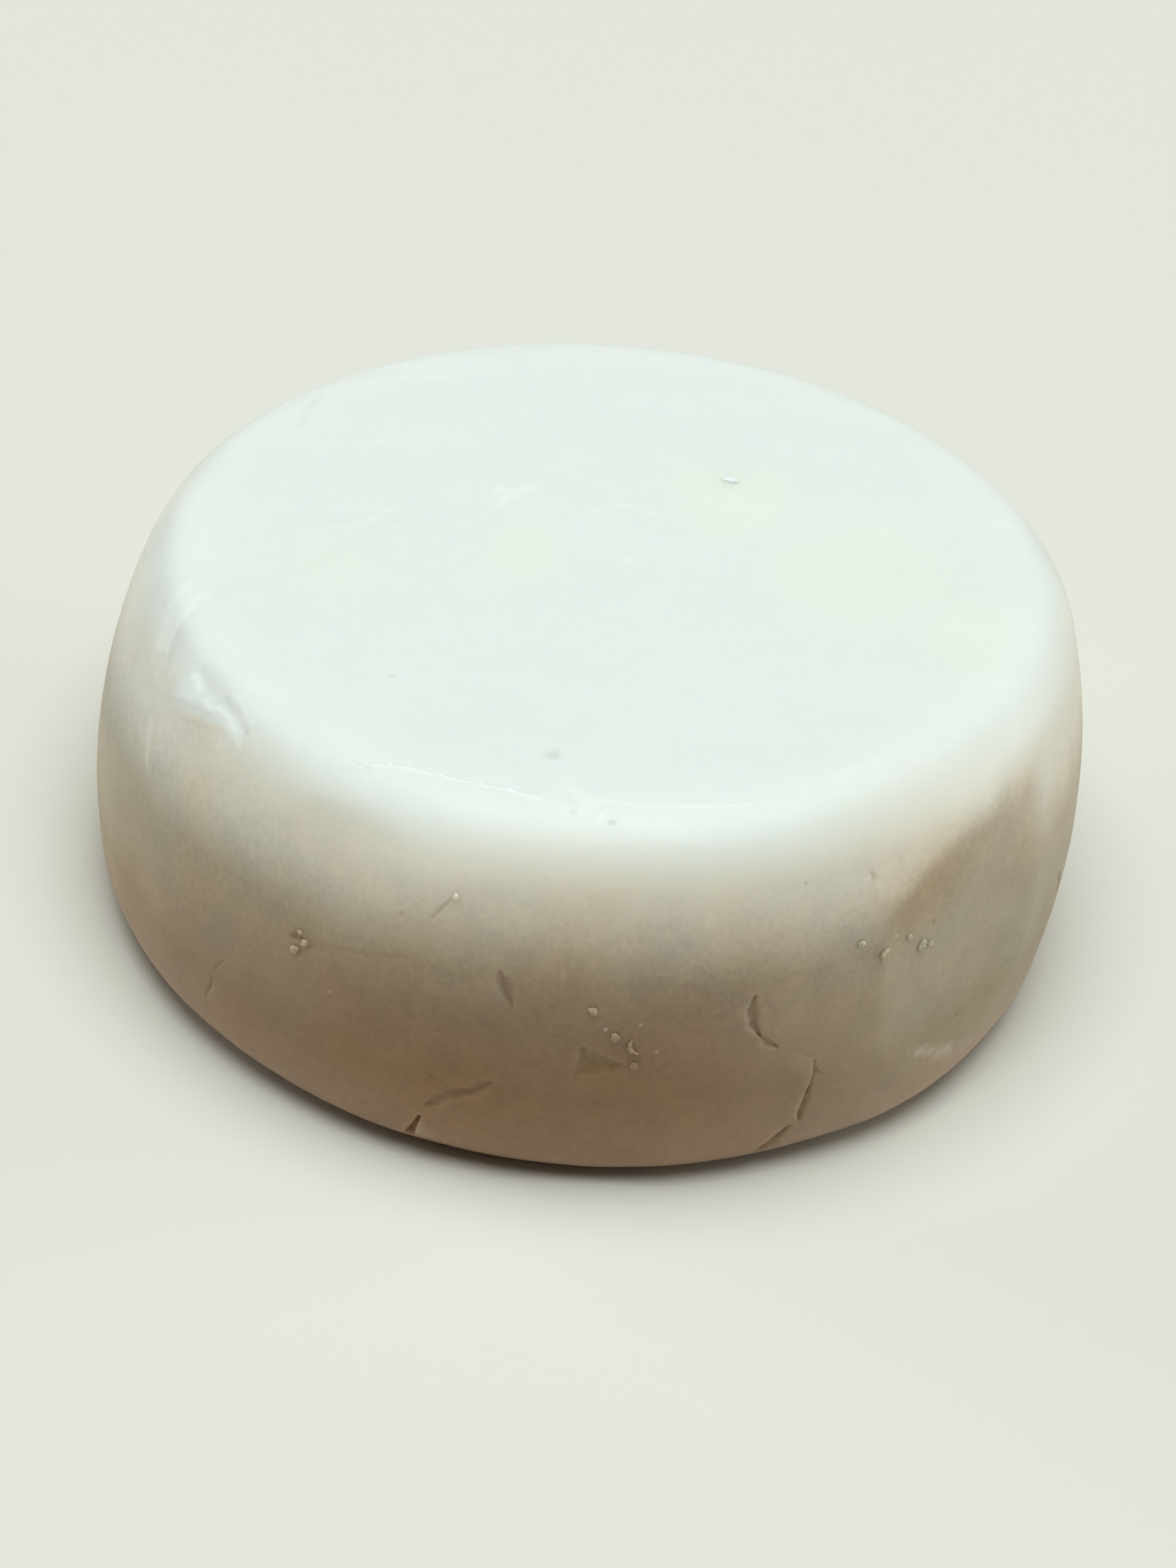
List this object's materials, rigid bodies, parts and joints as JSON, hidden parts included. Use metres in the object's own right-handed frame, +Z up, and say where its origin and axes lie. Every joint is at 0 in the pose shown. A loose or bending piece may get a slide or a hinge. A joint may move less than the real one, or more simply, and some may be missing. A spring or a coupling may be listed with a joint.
{
  "type": "shaving soap puck",
  "caption": "Round hand-pressed puck of hard shaving soap with a bulging wall, rounded edges and a slightly tilted flat top, with a few crumbs of soap clinging to it.",
  "frame": {"origin": "on the resting face, at the middle of the puck's box seen from above", "axes": "+Z up through the top face, +X towards the side where the top face is highest, -Y towards the front"},
  "size_m": [0.0688, 0.0671, 0.0292],
  "materials": {
    "pressed_soap": "satin, waxy"
  },
  "bodies": {
    "root": {"soap_puck": "pressed_soap", "clinging_crumbs": "pressed_soap"}
  },
  "joints": []
}
